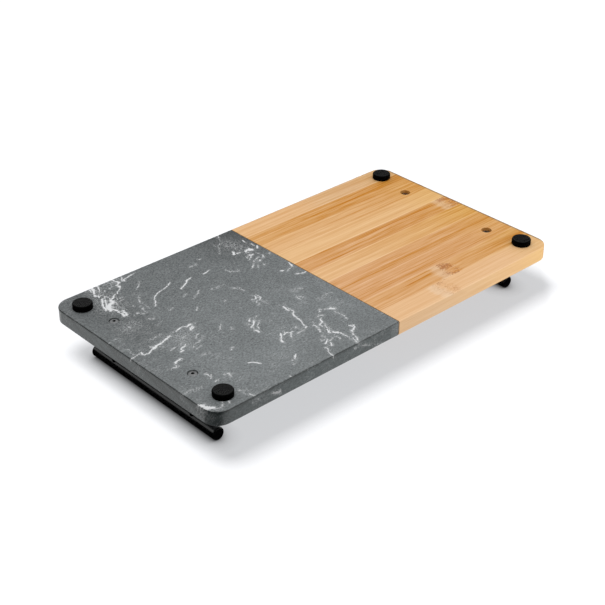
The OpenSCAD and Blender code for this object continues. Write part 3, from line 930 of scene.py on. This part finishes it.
def thread_tree(look):
    """Turns the plain shank of a screw into a core with a thread wound round it."""
    tree, given = geometry_tree("wound_thread", (
        ("Place", "Vector", None), ("Seat", "Float", 0.0), ("Head", "Float", 0.002),
        ("Length", "Float", 0.02), ("Diameter", "Float", 0.004), ("Pitch", "Float", look.thread_pitch),
        ("Depth", "Float", look.thread_depth), ("Steel", "Material", None)))
    radius = given["Diameter"] * 0.5
    core = radius - given["Depth"]
    spot = put(tree, "GeometryNodeInputPosition")
    height = split(spot)[2]
    flat = (spot - given["Place"]) * (1.0, 1.0, 0.0)
    in_shank = (work("LENGTH", flat) < radius * 1.02) * (height > given["Seat"] - 0.01 * MM)
    # Marks the hexagon socket, where the steel gets painted shade
    in_socket = (height > given["Head"] * -0.6 + given["Seat"]) * (work("LENGTH", flat) < radius * 0.9)
    marked = put(tree, "GeometryNodeStoreNamedAttribute", {
        "Geometry": given["Geometry"], "Name": "socket_shade", "Value": in_socket},
        data_type="FLOAT", domain="POINT")
    shank = put(tree, "GeometryNodeSetPosition", {
        "Geometry": marked, "Selection": in_shank, "Offset": flat * (core / radius - 1.0)})
    wound = given["Length"] - given["Pitch"] * 2.0
    spiral = put(tree, "GeometryNodeCurveSpiral", {
        "Resolution": 20, "Rotations": wound / given["Pitch"], "Start Radius": core, "End Radius": core,
        "Height": wound})
    upright = put(tree, "GeometryNodeSetCurveNormal", {"Curve": spiral}, mode="Z_UP")
    ridge = put(tree, "GeometryNodeCurvePrimitiveCircle", {"Resolution": 4, "Radius": given["Depth"]})
    thread = put(tree, "GeometryNodeCurveToMesh", {
        "Curve": upright, "Profile Curve": ridge, "Fill Caps": True})
    start = given["Place"] * (1.0, 1.0, 0.0) + join(z=given["Seat"] + given["Pitch"])
    placed = put(tree, "GeometryNodeTransform", {"Geometry": thread, "Translation": start})
    joined = add_node(tree, "GeometryNodeJoinGeometry")
    for part in (placed, shank):
        connect(joined.inputs[0], part)
    return close_tree(tree, Value(joined.outputs[0]), given["Steel"])


def dowel_tree(look):
    """A round dowel along X with flutes cut along it and chamfered ends."""
    tree, given = geometry_tree("fluted_dowel", (
        ("Place", "Vector", None), ("Length", "Float", 0.04), ("Diameter", "Float", 0.006),
        ("Chamfer", "Float", 0.0008), ("Flutes", "Int", look.flutes),
        ("Flute Depth", "Float", look.flute_depth), ("Wood", "Material", None)))
    radius = given["Diameter"] * 0.5
    rod = put(tree, "GeometryNodeMeshCylinder", {
        "Vertices": given["Flutes"] * 6, "Side Segments": 3, "Radius": radius, "Depth": given["Length"]},
        "Mesh")
    spot = put(tree, "GeometryNodeInputPosition")
    x, y, z = split(spot)
    at_end = abs(z) > given["Length"] * 0.4
    groove = work("COSINE", work("ARCTAN2", y, x) * given["Flutes"]) * 0.5 + 0.5
    inset = blend(at_end, groove ** 2.0 * given["Flute Depth"], given["Chamfer"])
    across = spot * (1.0, 1.0, 0.0) * (inset / radius * -1.0)
    ring = work("SIGN", z) * (given["Length"] * 0.5 - given["Chamfer"])
    slide = (ring - z) * (1.0 - at_end)
    shaped = put(tree, "GeometryNodeSetPosition", {"Geometry": rod, "Offset": across + join(z=slide)})
    laid = put(tree, "GeometryNodeTransform", {
        "Geometry": shaped, "Rotation": (0.0, math.pi / 2, 0.0), "Translation": given["Place"]})
    return close_tree(tree, laid, given["Wood"])


def stand_in(piece, node):
    """Puts a detailed piece in the place of a CAD node."""
    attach(piece, BODY)
    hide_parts(node)


class BOARD_OT_marble_slab(bpy.types.Operator):
    """Give the slab its veined marble"""
    bl_idname = "board.marble_slab"
    bl_label = "Marble slab"

    def execute(self, context):
        finish(["marble_slab"], marble_material(context.scene.board_stone))
        return {"FINISHED"}


class BOARD_OT_bamboo_strips(bpy.types.Operator):
    """Give the strips their laminated bamboo"""
    bl_idname = "board.bamboo_strips"
    bl_label = "Bamboo strips"

    def execute(self, context):
        finish(STRIPS, bamboo_material(context.scene.board_bamboo))
        return {"FINISHED"}


class BOARD_OT_joint_dowels(bpy.types.Operator):
    """Make the fluted dowels across the joint"""
    bl_idname = "board.joint_dowels"
    bl_label = "Joint dowels"

    def execute(self, context):
        look = context.scene.board_bamboo
        tree, wood = dowel_tree(look), beech_material(look)
        for i, node in enumerate(DOWELS, 1):
            low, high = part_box(node)
            piece = grow(tree, f"fluted_dowel_{i}", {
                "Place": (low + high) / 2, "Length": high.x - low.x, "Diameter": high.y - low.y,
                "Wood": wood})
            stand_in(piece, node)
        return {"FINISHED"}


class BOARD_OT_handles(bpy.types.Operator):
    """Give the handle bars and posts their black powder coat"""
    bl_idname = "board.handles"
    bl_label = "Handles"

    def execute(self, context):
        names = ["handle_bar_marble", "handle_bar_bamboo"] + ["handle_post_" + corner for corner in CORNERS]
        finish(names, coat_material(context.scene.board_metal))
        return {"FINISHED"}


class BOARD_OT_screws(bpy.types.Operator):
    """Make the threaded screws that hold the handles"""
    bl_idname = "board.screws"
    bl_label = "Handle screws"

    def execute(self, context):
        look = context.scene.board_metal
        tree, steel = thread_tree(look), steel_material(look)
        for corner in CORNERS:
            node = "handle_screw_" + corner
            skin = merged_copy(node)
            low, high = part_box(node)
            middle = (low + high) / 2
            seat = max(v.co.z for v in skin.vertices if (v.co - middle).xy.length > 0.45 * (high.x - low.x))
            diameter = 2 * max((v.co - middle).xy.length for v in skin.vertices if v.co.z > seat + MM)
            piece = grow(tree, "threaded_screw_" + corner, {
                "Place": middle, "Seat": seat, "Head": seat - low.z, "Length": high.z - seat,
                "Diameter": diameter, "Steel": steel}, skin)
            stand_in(piece, node)
        return {"FINISHED"}


class BOARD_OT_feet(bpy.types.Operator):
    """Give the feet their rubber and the discs under them their adhesive foam"""
    bl_idname = "board.feet"
    bl_label = "Feet"

    def execute(self, context):
        look = context.scene.board_rubber
        finish(["rubber_foot_" + corner for corner in CORNERS], rubber_material(look))
        finish(["foot_adhesive_" + corner for corner in CORNERS], tape_material(look))
        return {"FINISHED"}


def floor_material(look):
    """White floor that only the camera sees, from its lit side, with the cast shadow and the contact's."""
    material = empty_material("studio_floor")
    tree = material.node_tree
    closeness = put(tree, "ShaderNodeAmbientOcclusion", {"Distance": CONTACT_REACH}, "AO", samples=16)
    spot = put(tree, "ShaderNodeTexCoord", output="Object") * (1.0, 1.0, 0.0)
    reach = work("DISTANCE", spot, (*LAMP_SPOT, 0.0)) / LAMP_HEIGHT
    even = (reach * reach + 1.0) ** 2.0
    east, north = split(spot)[:2]
    tip = ramp(east + north, *SHADOW_TIP, 0.0, 0.22)
    contact = closeness ** 1.5 * (even * -0.1 + 1.1) * (tip + 1.0)
    glow = put(tree, "ShaderNodeEmission", {"Color": (*look.shade, 1.0), "Strength": contact})
    matte = put(tree, "ShaderNodeBsdfDiffuse", {"Color": even * FLOOR_SHINE})
    lit = put(tree, "ShaderNodeAddShader", {0: glow, 1: matte})
    clear = put(tree, "ShaderNodeBsdfTransparent")
    to_camera = put(tree, "ShaderNodeLightPath", output="Is Camera Ray")
    seen = to_camera * (1.0 - put(tree, "ShaderNodeNewGeometry", output="Backfacing"))
    shown = put(tree, "ShaderNodeMixShader", {0: seen, 1: clear, 2: lit})
    add_node(tree, "ShaderNodeOutputMaterial", {"Surface": shown})
    return material


def sheet(name, corners, material):
    """One flat face of a material, for the stage."""
    mesh = bpy.data.meshes.new(name)
    mesh.from_pydata(corners, [], [(0, 1, 2, 3)])
    mesh.materials.append(material)
    made = link(bpy.data.objects.new(name, mesh))
    return made


def floor(name, height, side, material):
    """A one-sided floor at a height, seen from above where its side is 1 and from below where it is -1."""
    corners = [(x * FLOOR_REACH, y * FLOOR_REACH, height) for x, y in SQUARE]
    return sheet(name, corners[::side], material)


def link_lamp(name, data, place, direction):
    """Puts a lamp in the scene so that it shines along a direction."""
    made = link(bpy.data.objects.new(name, data))
    made.location = place
    made.rotation_euler = Vector(direction).to_track_quat("-Z", "Y").to_euler()
    return made


def far_lamp(name, direction, light, width):
    """A soft lamp far away that adds light to a white face."""
    data = bpy.data.lights.new(name, "SUN")
    data.energy = math.pi * light
    data.angle = width
    link_lamp(name, data, (0, 0, 0), direction)


def near_lamp(name, place, target, light, width, only=None):
    """A round lamp near the board that adds light to a white face at its target. With only, it lights that
    object alone."""
    data = bpy.data.lights.new(name, "AREA")
    data.shape = "DISK"
    data.size = width
    reach = Vector(target) - Vector(place)
    data.energy = math.pi ** 2 * reach.length_squared * light
    made = link_lamp(name, data, place, reach)
    if only is not None:
        lit = bpy.data.collections.new(name + "_lights")
        lit.objects.link(only)
        made.light_linking.receiver_collection = lit


def black_card(name, corners, only_gloss):
    """A black card, as photo studios use. The camera doesn't see it and it casts no shadow."""
    material = paint(empty_material(name), base_color=(0, 0, 0, 1), specular_ior_level=0)
    card = sheet(name, corners, material)
    card.visible_camera = card.visible_shadow = False
    card.visible_diffuse = not only_gloss


def black_cards(look):
    """One card darkens the corner that faces the camera. The others only show in the handles' gloss."""
    low, high = cad_box
    to_camera = Vector((-math.sin(look.azimuth), math.cos(look.azimuth), 0))
    for name, start, away, reach, half_width, bottom, top, only_gloss in (
            ("camera_card", (low.x, high.y, 0), to_camera, 0.045, 0.085, -0.030, high.z, False),
            ("gloss_card", (low.x, 0, 0), Vector((-0.77, -0.63, 0)), 0.35, 0.45, -0.055, 0.16, True)):
        side = away.cross(Vector((0, 0, 1))) * half_width
        middle = Vector(start) + away * reach
        black_card(name, [middle + side * s + Vector((0, 0, z)) for s, z in (
            (-1, bottom), (1, bottom), (1, top), (-1, top))], only_gloss)
    for end in ("marble", "bamboo"):
        bar_low, bar_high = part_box("handle_bar_" + end)
        x, y, z = (bar_low.x + bar_high.x) / 2, bar_high.y + 0.03, bar_high.z + 0.1 * MM
        black_card("bar_card_" + end, [(x + a * 0.03, b * y, z) for a, b in SQUARE], True)


def camera(look):
    """The photo's camera. It looks at the underside and is turned over, so -Z is up in the picture."""
    level = math.cos(look.elevation)
    forward = Vector((
        level * math.sin(look.azimuth), -level * math.cos(look.azimuth), math.sin(look.elevation)))
    right = forward.cross(Vector((0, 0, -1))).normalized()
    data = bpy.data.cameras.new("photo_camera")
    data.lens, data.sensor_width = look.lens, 36.0
    made = link(bpy.data.objects.new("photo_camera", data))
    made.matrix_world = Matrix.Translation(Vector(look.aim) - forward * look.distance) @ Matrix(
        (right, right.cross(forward), -forward)).transposed().to_4x4()
    bpy.context.scene.camera = made


def world(look):
    """Even studio light, with a plain white background for the camera and for reflections."""
    made = bpy.data.worlds.new("studio")
    made.use_nodes = True
    tree = made.node_tree
    tree.nodes.clear()
    path = add_node(tree, "ShaderNodeLightPath").outputs
    direct, glossy, through = [
        Value(path[f"Is {kind} Ray"]) for kind in ("Camera", "Glossy", "Transmission")]
    light, white = [put(tree, "ShaderNodeBackground", {"Color": (1, 1, 1, 1), "Strength": strength})
                    for strength in (look.sky, 1.0)]
    seen = largest(direct, largest(glossy, through))
    shown = put(tree, "ShaderNodeMixShader", {0: seen, 1: light, 2: white})
    add_node(tree, "ShaderNodeOutputWorld", {"Surface": shown})
    made.cycles.sampling_method = "NONE"
    bpy.context.scene.world = made


class BOARD_OT_stage(bpy.types.Operator):
    """Set the floors, lamps, cards and camera, for views from above and for the photo's view from below"""
    bl_idname = "board.stage"
    bl_label = "Stage"

    def execute(self, context):
        look = context.scene.board_studio
        bpy.context.scene.view_settings.view_transform = "Standard"
        world(look)
        material = floor_material(look)
        low, high = cad_box
        for name, height, side in (("table", low.z, 1), ("photo", high.z, -1)):
            ground = floor("floor_" + name, height, side, material)
            far_lamp("key_" + name, (*KEY_SLANT, -side), look.key, look.width)
            lamp = (*LAMP_SPOT, height + LAMP_HEIGHT * side)
            near_lamp("shadow_" + name, lamp, (*LAMP_SPOT, height), SHADOW_LIGHT, SHADOW_LAMP_WIDTH, ground)
        near_lamp("side", *SIDE_LAMP, look.fill, 0.15)
        black_cards(look)
        camera(look)
        return {"FINISHED"}


class VIEW3D_PT_board(bpy.types.Panel):
    """Sizes and colours of the board, and a button for each step"""
    bl_idname = "VIEW3D_PT_board"
    bl_label = "Serving board"
    bl_space_type = "VIEW_3D"
    bl_region_type = "UI"
    bl_category = "Board"

    def draw(self, context):
        for settings in SETTINGS:
            box = self.layout.box()
            box.label(text=settings.__doc__)
            group = getattr(context.scene, SETTINGS[settings])
            for name in settings.__annotations__:
                box.prop(group, name)
        for step in STEPS:
            self.layout.operator(step.bl_idname)


SETTINGS = {
    StoneSettings: "board_stone",
    BambooSettings: "board_bamboo",
    MetalSettings: "board_metal",
    RubberSettings: "board_rubber",
    StudioSettings: "board_studio",
}
STEPS = (BOARD_OT_marble_slab, BOARD_OT_bamboo_strips, BOARD_OT_joint_dowels, BOARD_OT_handles,
         BOARD_OT_screws, BOARD_OT_feet, BOARD_OT_stage)


def register():
    for kind in (*SETTINGS, *STEPS, VIEW3D_PT_board):
        bpy.utils.register_class(kind)
    for settings, name in SETTINGS.items():
        setattr(bpy.types.Scene, name, PointerProperty(type=settings))


def unregister():
    for name in SETTINGS.values():
        delattr(bpy.types.Scene, name)
    for kind in reversed((*SETTINGS, *STEPS, VIEW3D_PT_board)):
        bpy.utils.unregister_class(kind)


def main():
    """Registers the add-on and runs its steps in order."""
    register()
    for step in STEPS:
        getattr(bpy.ops.board, step.bl_idname.split(".")[1])()


if __name__ == "__main__":
    main()
